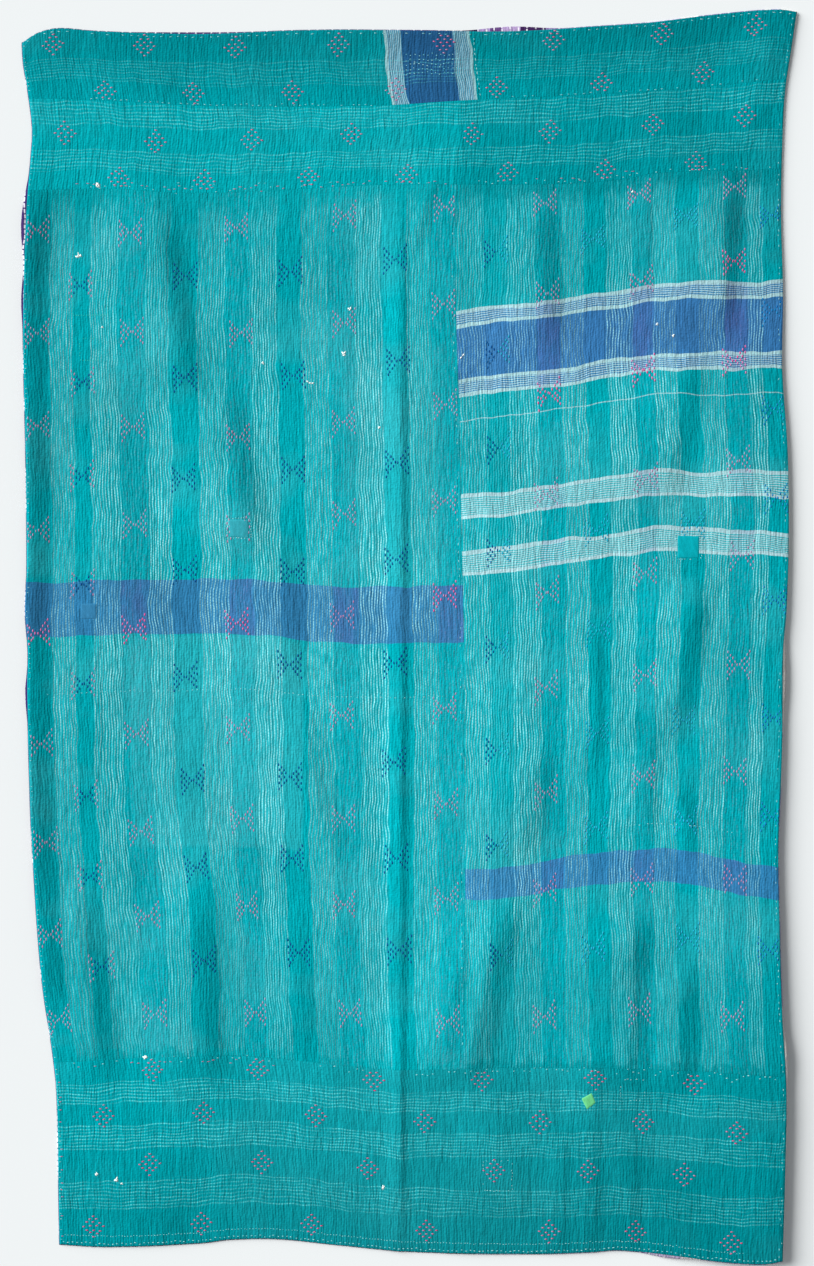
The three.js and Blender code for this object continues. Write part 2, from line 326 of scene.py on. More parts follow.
# ---------------------------------------------------------------- meshes
def new_piece(name, vertices, faces, uv=None, material=None):
    """An object in metres, from vertices in millimetres, faces of one size and a UV pair for each vertex."""
    mesh = bpy.data.meshes.new(name)
    mesh.vertices.add(len(vertices))
    mesh.vertices.foreach_set("co", (np.asarray(vertices) * MM).ravel())
    sides = faces.shape[1]
    mesh.loops.add(faces.size)
    mesh.loops.foreach_set("vertex_index", faces.ravel().astype(np.int32))
    mesh.polygons.add(len(faces))
    mesh.polygons.foreach_set("loop_start", np.arange(0, faces.size, sides, dtype=np.int32))
    mesh.polygons.foreach_set("loop_total", np.full(len(faces), sides, dtype=np.int32))
    if uv is not None:
        layer = mesh.uv_layers.new(name="cloth")
        layer.data.foreach_set("uv", (np.asarray(uv) * MM)[faces.ravel()].ravel())
    mesh.update(calc_edges=True)
    mesh.validate()
    mesh.polygons.foreach_set("use_smooth", np.ones(len(mesh.polygons), dtype=bool))
    piece = bpy.data.objects.new(name, mesh)
    bpy.context.scene.collection.objects.link(piece)
    if material:
        mesh.materials.append(material)
    return piece


def shell_faces(rows, columns):
    """Quads of a closed sheet: an upper grid, a lower one with its faces turned over, and a wall between."""
    grid = np.arange(rows * columns).reshape(rows, columns)
    a, b, c, d = grid[:-1, :-1], grid[:-1, 1:], grid[1:, 1:], grid[1:, :-1]
    upper = np.stack([a, b, c, d], -1).reshape(-1, 4)
    lower = upper[:, ::-1] + rows * columns
    rim = np.concatenate([grid[0, :-1], grid[:-1, -1], grid[-1, :0:-1], grid[:0:-1, 0]])
    onward = np.roll(rim, -1)
    wall = np.stack([rim, rim + rows * columns, onward + rows * columns, onward], -1)
    return np.concatenate([upper, lower, wall])


def closed_sheet(name, x, y, top, bottom, uv, material):
    """A closed sheet over one grid of places: heights top and bottom, a wall between them, and u and v."""
    upper, lower = (np.stack([x, y, z], -1).reshape(-1, 3) for z in (top, bottom))
    vertices, uv = np.concatenate([upper, lower]), np.stack(uv, -1).reshape(-1, 2)
    return new_piece(name, vertices, shell_faces(*x.shape), np.concatenate([uv, uv]), material)


GRID_ACROSS, GRID_UP = 2.8, 10.0
RIM_STATIONS = np.array([0.5, 1.5, 3.2])
THINNEST = 0.25


def spread(start, end, step):
    """Even stations about one step apart, with the finer rim ones at each end for its hem or seam."""
    even = np.linspace(start, end, int(round((end - start) / step)) + 1)
    extra = np.concatenate([start + RIM_STATIONS, end - RIM_STATIONS])
    return np.unique(np.concatenate([even, extra]).round(3))


def front_panel(panel, material):
    """A closed thin sheet: front_top over the panel's grid, and a plain underside 1.5 mm lower."""
    u, v = np.meshgrid(spread(*panel.u, GRID_ACROSS), spread(*panel.v, GRID_UP))
    x, y, z = front_top(panel, u, v)
    inset = SEAM_GAP / 2
    x = x + inset * ((u == panel.u[0]).astype(float) - (u == panel.u[1]))
    y = y + inset * ((v == panel.v[0]).astype(float) - (v == panel.v[1]))
    below = FRONT_UNDERSIDE + cloth_height(x, y)
    return closed_sheet(panel.node + "_cloth", x, y, np.maximum(z, below + THINNEST), below, (u, v), material)


# How far the backing shows past the front. Columns: place along the edge, reach, spread.
PEEKS = {
    "left": np.array([(690, 7, 90), (560, 3, 60), (-100, 3, 50)], float),
    "right": np.array([(-70, 5, 95), (-700, 4, 60)], float),
    "foot": np.array([(430, 4, 60)], float),
    "head": np.array([(170, 7, 95), (-360, 2, 120)], float),
}
BACKING_MARGIN = 1.2
BACKING_ACROSS = [*np.linspace(0, 1, 255), 0.0008, 0.002, 0.998, 0.9992]
BACKING_UP = [*np.linspace(0, 1, 105), 0.0005, 0.0015, 0.9985, 0.9995]
RIM_THINNING, RIM_RISE = 0.5, 0.3


def peek(side, at):
    """The margin plus a soft bump for each row of the side's table."""
    reach = np.full_like(at, BACKING_MARGIN)
    for place, height, spread_out in PEEKS[side]:
        reach += height * smooth(1 - np.abs(at - place) / spread_out)
    return reach


def backing_sheet(material):
    """A closed sheet under all the panels, reaching past them by peek() on each side, thinner at its rim."""
    s, t = np.meshgrid(np.unique(BACKING_ACROSS), np.unique(BACKING_UP))
    x, y = np.zeros_like(s), np.zeros_like(s)
    for _ in range(PLACE_ROUNDS):
        y = mix(foot_y(x), head_y(x), t)
        x = mix(left_x(y), right_x(y), s)
    x = x - (s == 0) * peek("left", y) + (s == 1) * peek("right", y)
    y = y - (t == 0) * peek("foot", x) + (t == 1) * peek("head", x)
    rim = (s == 0) | (s == 1) | (t == 0) | (t == 1)
    below = cloth_height(x, y)
    top, bottom = below + BACKING_TOP - RIM_THINNING * rim, below + RIM_RISE * rim
    return closed_sheet("backing_cloth", x, y, top, bottom, (x, y), material)


# ---------------------------------------------------------------- thread stitches
# A stitch seen from above: (along, aside) as shares of its half length and half width.
STITCH_RIM = np.array([
    (1.0, 0.0), (0.72, 0.8), (0.0, 1.0), (-0.72, 0.8), (-1.0, 0.0), (-0.72, -0.8), (0.0, -1.0), (0.72, -0.8),
])
STITCH_SINK, STITCH_ROOT = 0.05, 0.4


def stitches(panel, u, v, turn, length, width, lift):
    """Raised thread dashes. Each has an eight-sided rim round its centre, turned from the across direction,
    a crown above it and a root below. Every rim point takes the height of the front's own upper face."""
    u, v, turn, length, width, lift = np.broadcast_arrays(u, v, turn, length, width, lift)
    along = STITCH_RIM[:, 0] * length[:, None] / 2
    aside = STITCH_RIM[:, 1] * width[:, None] / 2
    cos, sin = np.cos(turn)[:, None], np.sin(turn)[:, None]
    shift_x, shift_y = along * cos - aside * sin, along * sin + aside * cos
    x, y, _ = front_top(panel, u, v)
    near_u = np.clip(u[:, None] + shift_x, *panel.u)
    near_v = np.clip(v[:, None] + shift_y, *panel.v)
    rim_z = front_top(panel, near_u, near_v)[2]
    middle = rim_z.mean(axis=1)
    rim = np.stack([x[:, None] + shift_x, y[:, None] + shift_y, rim_z - STITCH_SINK], -1)
    crown = np.stack([x, y, middle + lift], -1)[:, None, :]
    root = np.stack([x, y, middle - STITCH_ROOT], -1)[:, None, :]
    vertices = np.concatenate([rim, crown, root], axis=1).reshape(-1, 3)
    sides = len(STITCH_RIM)
    ring = np.arange(sides)
    over = np.stack([ring, np.roll(ring, -1), np.full(sides, sides)], -1)
    under = np.stack([np.roll(ring, -1), ring, np.full(sides, sides + 1)], -1)
    one = np.concatenate([over, under])
    faces = (one[None] + (np.arange(len(x)) * (sides + 2))[:, None, None]).reshape(-1, 3)
    return vertices, faces


def joined(name, parts, material):
    """One piece from several (vertices, faces) pairs, riding on the quilt."""
    starts = np.cumsum([0] + [len(vertices) for vertices, _ in parts[:-1]])
    vertices = np.concatenate([vertices for vertices, _ in parts])
    faces = np.concatenate([faces + start for (_, faces), start in zip(parts, starts)])
    piece = new_piece(name, vertices, faces, None, material)
    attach(piece, "root")


# ---------------------------------------------------------------- colour and nodes
def linear(hex_colour, alpha=1.0):
    """An sRGB hex string as linear red, green and blue, with an alpha."""
    parts = [int(hex_colour[i:i + 2], 16) / 255 for i in (1, 3, 5)]
    return tuple(p / 12.92 if p <= 0.04045 else ((p + 0.055) / 1.055) ** 2.4 for p in parts) + (alpha,)


SOFT = {"interpolation_type": "SMOOTHSTEP"}
FLAT = {"noise_dimensions": "2D"}


def add(tree, kind, settings=None, **sockets):
    """Adds a node, sets its properties, a lone word being its operation, and gives each socket a value or a
    link; a, b and c are its first three sockets."""
    node = tree.nodes.new("ShaderNode" + kind)
    if isinstance(settings, str):
        settings = {"operation": settings}
    for name, value in (settings or {}).items():
        setattr(node, name, value)
    for name, value in sockets.items():
        socket = node.inputs["abc".index(name) if name in "abc" else name.replace("_", " ")]
        if isinstance(value, bpy.types.Node):
            value = value.outputs[0]
        if isinstance(value, bpy.types.NodeSocket):
            tree.links.new(value, socket)
        else:
            socket.default_value = value
    return node


def new_material(name, **constants):
    """A material with a fresh tree, a shader whose constant sockets are set, and its output."""
    material = bpy.data.materials.new(name)
    material.use_nodes = True
    tree = material.node_tree
    tree.nodes.clear()
    shader = add(tree, "BsdfPrincipled", **constants)
    add(tree, "OutputMaterial", Surface=shader)
    return material, tree, shader


def dress(tree, shader, colour, bump):
    """Links a colour and a bump to the shader."""
    tree.links.new(colour.outputs[0], shader.inputs["Base Color"])
    tree.links.new(bump.outputs[0], shader.inputs["Normal"])


def share_ramp(tree, place, span, stops):
    """A stepped colour ramp read along a span in millimetres; its stops are (millimetres, colour, alpha)."""
    node = add(tree, "ValToRGB", Fac=along_span(tree, place, span, 0.0, 1.0))
    ramp = node.color_ramp
    ramp.interpolation = "CONSTANT"
    ramp.elements.remove(ramp.elements[-1])
    for number, (at, colour, alpha) in enumerate(stops):
        position = (at - span[0]) / (span[1] - span[0])
        element = ramp.elements[0] if number == 0 else ramp.elements.new(position)
        element.position = position
        element.color = linear(colour, alpha)
    return node


def along_span(tree, place, span, start, end, settings=None):
    """A factor that goes from start to end over a span in millimetres."""
    return add(tree, "MapRange", settings, Value=place, From_Min=span[0] * MM, From_Max=span[1] * MM,
               To_Min=start, To_Max=end)


def product(tree, *factors):
    """The factors multiplied together, one Math node for each after the first."""
    total = factors[0]
    for factor in factors[1:]:
        total = add(tree, "Math", "MULTIPLY", a=total, b=factor)
    return total


def line_mask(tree, place, pitch, low, high):
    """Soft lines one pitch apart, 1 at mid pitch and 0 at the joins; low and high bound the soft edge."""
    half = pitch * MM / 2
    beside = add(tree, "Math", "PINGPONG", a=place, b=half)
    return add(tree, "MapRange", SOFT, Value=beside, From_Min=half * low, From_Max=half * high)


# How much of a dash each row is shifted by, how far apart the rows read their noise, the soft end of a dash
# as shares of its length, and the span of each noise that is used.
ROW_SHIFT, ROW_APART = 0.381, 7.31
DASH_END = dict(From_Min=0.06, From_Max=0.2)
ROW_NOISE = dict(From_Min=0.32, From_Max=0.62)
WANDER_NOISE = dict(From_Min=0.25, From_Max=0.75)
CLOTH_NOISE = dict(From_Min=0.3, From_Max=0.7)


def thread_rows(tree, across, along, pitch, low, high, dash, between, run, least, aligned=False):
    """Rows of dashes, a pitch apart: 1 on a dash and "between" from one to the next. Noise about a run long,
    each row's own, weakens them down to "least". Each row is shifted unless the dashes are aligned."""
    row = add(tree, "Math", "FLOOR", a=add(tree, "Math", "DIVIDE", a=across, b=pitch * MM))
    shift = product(tree, row, 0.0 if aligned else ROW_SHIFT)
    steps = add(tree, "Math", "MULTIPLY_ADD", a=along, b=1 / (dash * MM), c=shift)
    inside = add(tree, "Math", "PINGPONG", a=steps, b=0.5)
    bead = add(tree, "MapRange", SOFT, Value=inside, **DASH_END, To_Min=between, To_Max=1.0)
    place = add(tree, "CombineXYZ", X=product(tree, row, ROW_APART),
                Y=add(tree, "Math", "DIVIDE", a=along, b=run * MM))
    noise = add(tree, "TexNoise", FLAT, Vector=place, Scale=1.0, Detail=2.0)
    own = add(tree, "MapRange", Value=noise, **ROW_NOISE, To_Min=least, To_Max=1.0)
    return product(tree, line_mask(tree, across, pitch, low, high), bead, own)


def wandering(tree, place, uv, scale, swing):
    """A coordinate that strays by up to half of swing, in millimetres, as hand-drawn cloth does."""
    noise = add(tree, "TexNoise", FLAT, Vector=uv, Scale=scale, Detail=2.0)
    reach = swing * MM / 2
    offset = add(tree, "MapRange", Value=noise, **WANDER_NOISE, To_Min=-reach, To_Max=reach)
    return add(tree, "Math", "ADD", a=place, b=offset)


def stretched_noise(tree, uv, stretch, scale, detail, low, high):
    """Noise from low to high, with the cloth coordinates first scaled across and up by the pair given."""
    stretched = add(tree, "Mapping", Vector=uv, Scale=(*stretch, 1.0))
    noise = add(tree, "TexNoise", FLAT, Vector=stretched, Scale=scale, Detail=detail)
    return add(tree, "MapRange", Value=noise, **CLOTH_NOISE, To_Min=low, To_Max=high)


def pane(tree, u, v, box, soft):
    """1 inside the box (u0, u1, v0, v1) and 0 outside it, changing smoothly over soft, all in millimetres."""
    near = soft / 2
    sides = [(u, box[0], near), (u, box[1], -near), (v, box[2], near), (v, box[3], -near)]
    return product(tree, *[along_span(tree, place, (edge - inward, edge + inward), 0.0, 1.0, SOFT)
                           for place, edge, inward in sides])


# ---------------------------------------------------------------- materials
WHITE_THREAD = "#A4E4E6"
FAINT_THREAD = "#66D6D9"
# Pale teal for patches the sun has faded, and for the painted light on the middle of the foot border.
FADED_TEAL_AND_PAINTED_LIGHT = "#5CBFC6"
PINK_FLECK = "#A07EA8"
VIOLET = "#5A449C"
NAVY_COLUMN = "#009EA8"
PINK_COLUMN = "#039EA9"
PALE_GROUND = "#0BA2AC"
BORDER_TEAL = "#00929B"
BORDER_TEAL_PALE = "#02A0A9"
HEADER_TEAL = "#008F98"
INDIGO = "#3A6CAA"
HEADER_INDIGO = "#265487"
ICE = "#B2D2D8"

# Rows of thread in millimetres, as thread_rows takes them. The quilting runs 4.6 apart with a stitch every
# 7.2, as it is sewn, and the hollows between are finer, darkened as painted shade. Real yarns lie 0.4 apart,
# too fine to show, so the pale warp, the faint weft and the pink flecks are drawn about 5 apart, one row for
# a dozen yarns.
PUCKER_ROWS = dict(pitch=4.6, low=0.0, high=0.9, dash=7.2, between=0.2, run=30.0, least=0.5)
DENT_SHADE_ROWS = dict(pitch=3.7, low=0.25, high=0.9, dash=5.0, between=0.0, run=9.0, least=-0.3)
WARP_ROWS = dict(pitch=4.5, low=0.54, high=0.88, dash=4.4, between=0.35, run=26.0, least=0.2)
WEFT_ROWS = dict(pitch=5.3, low=0.5, high=0.9, dash=4.6, between=0.1, run=40.0, least=0.2, aligned=True)
FLECK_ROWS = dict(pitch=5.6, low=0.5, high=0.9, dash=7.0, between=0.0, run=20.0, least=-0.5)
BACKING_ROWS = dict(pitch=13.5, low=0.7, high=0.95, dash=9.0, between=0.0, run=60.0, least=0.6)
BAND_LINES = dict(pitch=3.3, low=0.35, high=0.8)
HAIRLINE_WIDTH, HAIRLINE_COVER = 1.5, 0.6
WARP_STRENGTH = 1.05

# Noise over the cloth: stretch across and up, scale, detail, lowest, highest. At a scale of 150 its streaks
# are about 7 mm wide, and at 9 its patches are about 110 mm wide.
WEAR = ((1, 0.35), 14.0, 3.0, 0.65, 1.0)
WARP_WEAR = ((0.7, 1), 6.0, 3.0, 0.6, 1.1)
FADED_AREAS = ((1, 0.8), 6.0, 4.0, 0.0, 0.25)
VIOLET_MOTTLE = ((1, 0.4), 40.0, 3.0, 0.3, 2.6)
# Painted shade: how strongly the hollows between stitches are darkened, patch by patch.
GATHERED_DENT_SHADE = ((1, 0.5), 11.0, 2.0, 0.1, 1.0)
CLOTH_TONES = [
    ((1, 0.5), 9.0, 3.0, 0.93, 1.06), ((1, 0.12), 150.0, 3.0, 0.94, 1.06),
    ((0.15, 1), 260.0, 2.0, 0.94, 1.06),
]
# Where a striped field fades: panel end, start and full fade in millimetres from it, and how far at most.
END_FADES = [(1, -44, -8, 0.85), (0, 20, 2, 0.8)]
# How far up or down from the fields' middle the white threads wear away and the tone goes over to the ends',
# a painted shade that darkens the fields towards their foot and head.
FIELD_MIDDLE = 40
THREADS_LOST, PAINTED_SHADE_REACH, THREADS_LEFT = (360, 740), (500, 700), 0.4

COTTON_FINISH = dict(Roughness=0.92, Specular_IOR_Level=0.01)


def quilted(tree, shader, uv, u, v, colour, tone):
    """Finishes quilted cloth: its colour brightened by tone, which from cotton() also carries painted light
    and shade, and bumps from soft creases along the stitching, the stitches' own puckers and the yarn's
    grain, drawn 1 mm thick because 0.4 mm would not show."""
    puckers = thread_rows(tree, u, v, **PUCKER_ROWS)
    creases = stretched_noise(tree, uv, (1.0, 0.22), 170.0, 2.0, 0.0, 1.0)
    grain = add(tree, "TexNoise", FLAT, Vector=uv, Scale=900.0, Detail=2.0)
    height = add(tree, "Math", "MULTIPLY_ADD", a=puckers, b=-0.5, c=creases)
    height = add(tree, "Math", "MULTIPLY_ADD", a=grain, b=0.15, c=height)
    bump = add(tree, "Bump", Strength=1.0, Distance=0.6 * MM, Height=height)
    dress(tree, shader, add(tree, "HueSaturation", Value=tone, Color=colour), bump)


# Painted light: the middle of the pool of light painted on the cloth, in metres, and the distances in
# millimetres over which it falls off.
PAINTED_LIGHT_MIDDLE, PAINTED_LIGHT_SPAN = (-0.16, -0.12, 0.0), (200, 1150)


def painted_light_pool(tree, low, high):
    """Painted light: a brightness that falls from high, a little left of the middle, to low a metre away, a
    pool of light painted on the cloth.
    """
    place = add(tree, "TexCoord").outputs["Object"]
    away = add(tree, "VectorMath", "DISTANCE", a=place, b=PAINTED_LIGHT_MIDDLE).outputs["Value"]
    return along_span(tree, away, PAINTED_LIGHT_SPAN, high, low)


def cotton(name, panel, ground, across=None, flecks=None, line_groups=None, bands=None, band_lines=None,
           slant=None, hairline=None, painted_side_shade=(1, 1), painted_end_shade=(1, 1), ends=(None, 1.0), sunned=0.04, panes=()):
    """Washed plain-woven sari cotton, quilted by hand. Woven: stripes along the warp with white threads that
    wear and stitching have broken up, and bands of weft over them. What shows is matt cloth with fine streaks
    both ways, patches that the sun has faded, and rows of small puckers, with painted shade in the hollows
    between the stitches, and painted light and shade laid over each panel.

    across: stops over u, alpha the strength of the upright white threads. flecks: stops over u, alpha the
    strength of pink flecks. line_groups: stops over v, alpha the strength of sideways white threads. bands:
    stops whose alpha is how much the weft covers; band_lines: stops whose alpha is the strength of thin pale
    weft lines. Both are read over v, or with slant given over u + slant * v. hairline: v of one pale thread
    of weft. painted_side_shade and painted_end_shade: painted shade, the brightness at the left and the right
    side, and at the foot and the head. ends: what colour a striped field fades to at its foot and head, and
    how bright it is there, a painted shade darkening the field towards them. sunned: how far the sun has
    bleached patches. panes: paler areas, each a box, how soft its rim is and how pale it is; in the left
    field they are bleached by a scrap under them, and the broad soft one on the foot border is painted light."""
    material, tree, shader = new_material(name, **COTTON_FINISH)
    uv = add(tree, "UVMap", {"uv_map": "cloth"})
    parts = add(tree, "SeparateXYZ", Vector=uv)
    u = wandering(tree, parts.outputs["X"], uv, 14.0, 6)
    v = wandering(tree, parts.outputs["Y"], uv, 16.0, 6)
    worn = stretched_noise(tree, uv, *WEAR)
    striped = across is not None
    colour = share_ramp(tree, u, panel.u, across) if striped else linear(ground)

    # Each layer over the ground: how much it covers, and its colour.
    layers = [(stretched_noise(tree, uv, *FADED_AREAS), linear(ground)),
              (stretched_noise(tree, uv, (0.8, 1), 7.0, 4.0, -sunned, sunned), linear(FADED_TEAL_AND_PAINTED_LIGHT))]
    layers += [(product(tree, pane(tree, u, v, box, soft), cover), linear(FADED_TEAL_AND_PAINTED_LIGHT))
               for box, soft, cover in panes]
    place, span = v, panel.v
    if slant is not None:
        place, span = add(tree, "Math", "MULTIPLY_ADD", a=v, b=slant, c=u), panel.u
    if bands is not None:
        weft = share_ramp(tree, place, span, bands)
        layers.append((weft.outputs["Alpha"], weft))
    if band_lines is not None:
        thin = share_ramp(tree, place, span, band_lines).outputs["Alpha"]
        layers.append((product(tree, thin, line_mask(tree, place, **BAND_LINES)), linear(ICE)))
    if hairline is not None:
        within = add(tree, "Math", "COMPARE", a=v, b=hairline * MM, c=HAIRLINE_WIDTH / 2 * MM)
        layers.append((product(tree, within, HAIRLINE_COVER), linear(ICE)))
    if striped:
        aside = add(tree, "Math", "ABSOLUTE", a=add(tree, "Math", "SUBTRACT", a=v, b=FIELD_MIDDLE * MM))
        worn = product(tree, worn, along_span(tree, aside, THREADS_LOST, 1.0, THREADS_LEFT),
                       stretched_noise(tree, uv, *WARP_WEAR))
        threads = product(tree, colour.outputs["Alpha"], thread_rows(tree, u, v, **WARP_ROWS), worn,
                          WARP_STRENGTH)
        layers.append((threads, linear(WHITE_THREAD)))
        ragged = wandering(tree, v, uv, 60.0, 26)
        for end, start, full, most in END_FADES:
            reach = (panel.v[end] + start, panel.v[end] + full)
            layers.append((along_span(tree, ragged, reach, 0.0, most, SOFT), linear(ends[0])))
    if flecks is not None:
        strips = share_ramp(tree, u, panel.u, flecks).outputs["Alpha"]
        violet = product(tree, strips, weft.outputs["Alpha"], stretched_noise(tree, uv, *VIOLET_MOTTLE))
        pink = product(tree, strips, thread_rows(tree, u, v, **FLECK_ROWS))
        layers += [(violet, linear(VIOLET)), (pink, linear(PINK_FLECK))]
    if line_groups is not None:
        groups = share_ramp(tree, v, panel.v, line_groups).outputs["Alpha"]
        threads = product(tree, groups, thread_rows(tree, v, u, **WEFT_ROWS), worn)
        layers.append((threads, linear(FAINT_THREAD)))
    for cover, over in layers:
        colour = add(tree, "MixRGB", Fac=cover, Color1=colour, Color2=over)

    # Painted shade: the colour darker in the hollows between the stitches, and a little lighter elsewhere.
    painted_dent_shade = product(tree, thread_rows(tree, u, v, **DENT_SHADE_ROWS), stretched_noise(tree, uv, *GATHERED_DENT_SHADE))
    # Painted light and shade: each panel darker towards one side and one end, and a painted pool of light.
    tones_and_painted_light = [along_span(tree, parts.outputs["X"], panel.u, *painted_side_shade),
             along_span(tree, parts.outputs["Y"], panel.v, *painted_end_shade),
             add(tree, "MapRange", Value=painted_dent_shade, To_Min=1.04, To_Max=0.8), painted_light_pool(tree, 0.93, 1.06),
             *[stretched_noise(tree, uv, *row) for row in CLOTH_TONES]]
    if striped:
        # Painted shade: the field darker towards its foot and head.
        tones_and_painted_light.append(along_span(tree, aside, PAINTED_SHADE_REACH, 1.0, ends[1]))
    quilted(tree, shader, uv, u, v, colour, product(tree, *tones_and_painted_light))
    return material


BACKING_STRIPES = [
    (-660, "#38275A", 1), (-380, "#4A2F63", 1), (60, "#2A1C3E", 1), (112, "#8E7AA6", 1), (132, "#5B3F72", 1),
    (150, "#A18CB4", 1), (185, "#3C2350", 1), (225, "#7F6C9C", 1), (390, "#B7A9C9", 1), (450, "#D9D3D6", 1),
    (480, "#6D5A92", 1), (590, "#D8D4D2", 1), (602, "#9D8DB8", 1), (614, "#E6E2DC", 1),
]


def backing_cotton():
    """Old printed sari cotton in plum, lilac and cream stripes, quilted by hand: matt, with the same puckers
    and rows of undyed stitches."""
    material, tree, shader = new_material("plum_and_lilac_sari_cotton", **COTTON_FINISH)
    uv = add(tree, "UVMap", {"uv_map": "cloth"})
    parts = add(tree, "SeparateXYZ", Vector=uv)
    u = wandering(tree, parts.outputs["X"], uv, 16.0, 5)
    v = wandering(tree, parts.outputs["Y"], uv, 11.0, 6)
    colour = add(tree, "MixRGB", Fac=thread_rows(tree, u, v, **BACKING_ROWS), Color2=linear("#D9D7DD"),
                 Color1=share_ramp(tree, u, (-660, 660), BACKING_STRIPES))
    quilted(tree, shader, uv, u, v, colour, stretched_noise(tree, uv, (1, 0.12), 140.0, 3.0, 0.88, 1.12))
    return material


def thread(name, colour, faded_colour):
    """Soft-twisted cotton thread, washed unevenly: each stitch lies between its dyed and its faded colour.
    Faint ridges about 1 mm apart stand for its twist, which is finer."""
    material, tree, shader = new_material(name, Roughness=0.85, Specular_IOR_Level=0.08)
    place = add(tree, "TexCoord").outputs["Object"]
    cells = add(tree, "TexNoise", Vector=place, Scale=60.0, Detail=3.0)
    share = add(tree, "MapRange", Value=cells, From_Min=0.35, From_Max=0.65)
    mixed = add(tree, "MixRGB", Fac=share, Color1=linear(colour), Color2=linear(faded_colour))
    twist = add(tree, "TexWave", {"bands_direction": "DIAGONAL"}, Vector=place, Scale=500.0).outputs["Fac"]
    dress(tree, shader, mixed, add(tree, "Bump", Strength=0.3, Distance=0.2 * MM, Height=twist))
    return material


# The stripes down the fields. Columns: middle u, width, strength of the white threads and of the pink flecks.
LEFT_STRIPES = np.array([
    (-621, 42, 0, 0), (-546, 28, 0, 0), (-461, 46, 0.05, 0.14), (-375, 46, 0, 0), (-285, 40, 0.05, 0.14),
    (-198, 44, 0, 0), (-110, 43, 0.08, 0.14), (-21, 40, 0, 0), (62, 42, 0.08, 0.14),
], float)
RIGHT_STRIPES = np.array([
    (141, 38, 0.2, 0), (230, 38, 0, 0.1), (308, 35, 0, 0), (388, 34, 0, 0.1), (463, 36, 0, 0),
    (544, 38, 0, 0.12), (609, 38, 0, 0),
], float)


def stripe_stops(panel, stripes):
    """Stops across a field: each stripe in its own teal, and pale ground with white threads between."""
    stops = [(panel.u[0], PALE_GROUND, 1.0)]
    for middle, size, strength, pink in stripes:
        near = max(panel.u[0], middle - size / 2)
        colour = PINK_COLUMN if pink else NAVY_COLUMN
        if near == panel.u[0]:
            stops = []
        stops.append((near, colour, strength))
        if middle + size / 2 < panel.u[1]:
            stops.append((middle + size / 2, PALE_GROUND, 1.0))
    return stops


PLAIN = "#000000"


def band_stops(start, rows):
    """Stops from start on: each row is (low, high, colour, alpha), with nothing between rows."""
    stops = [(start, ICE, 0.0)]
    for low, high, colour, alpha in rows:
        if low == stops[-1][0]:
            stops.pop()
        stops += [(low, colour, alpha), (high, ICE, 0.0)]
    return stops


def fleck_stops(panel, stripes):
    """Stops across a field: the strength of pink flecks on the stripes that have them, none elsewhere."""
    rows = [(max(panel.u[0], middle - size / 2), min(panel.u[1], middle + size / 2), PLAIN, pink)
            for middle, size, _, pink in stripes if pink]
    return band_stops(panel.u[0], rows)


HEAD_BORDER_LINES = [(29, 65, PLAIN, 0.6), (102, 137, PLAIN, 0.65)]
FOOT_LINES = [(57, 107, PLAIN, 0.7), (154, 194, PLAIN, 0.75), (226, 262, PLAIN, 0.75)]
HEADER_BAND = [
    (-31, -25, ICE, 0.6), (-25, -1, "#4A86A5", 0.8), (-1, 80, HEADER_INDIGO, 0.92), (80, 107, "#4A86A5", 0.8),
    (107, 113, ICE, 0.6),
]
HEADER_BAND_LINES = [(-25, -1, ICE, 0.6), (80, 107, ICE, 0.6)]
LEFT_BANDS = [(-16, 72, "#3A5CA2", 0.66)]
RIGHT_BANDS = [
    (-443, -393, "#3B61AE", 0.63),
    (96, 105, ICE, 0.85), (105, 130, "#58BEC6", 0.35), (130, 139, ICE, 0.8),
    (188, 197, ICE, 0.85), (197, 222, "#58BEC6", 0.35), (222, 231, ICE, 0.8),
    (387, 396, ICE, 0.8), (396, 413, INDIGO, 0.75), (413, 419, ICE, 0.8), (419, 502, INDIGO, 0.88),
    (502, 513, ICE, 0.8), (513, 530, INDIGO, 0.75), (530, 535, ICE, 0.8),
]
RIGHT_BAND_LINES = [
    (105, 130, ICE, 0.85), (197, 222, ICE, 0.85), (396, 413, ICE, 0.85), (513, 530, ICE, 0.85),
]


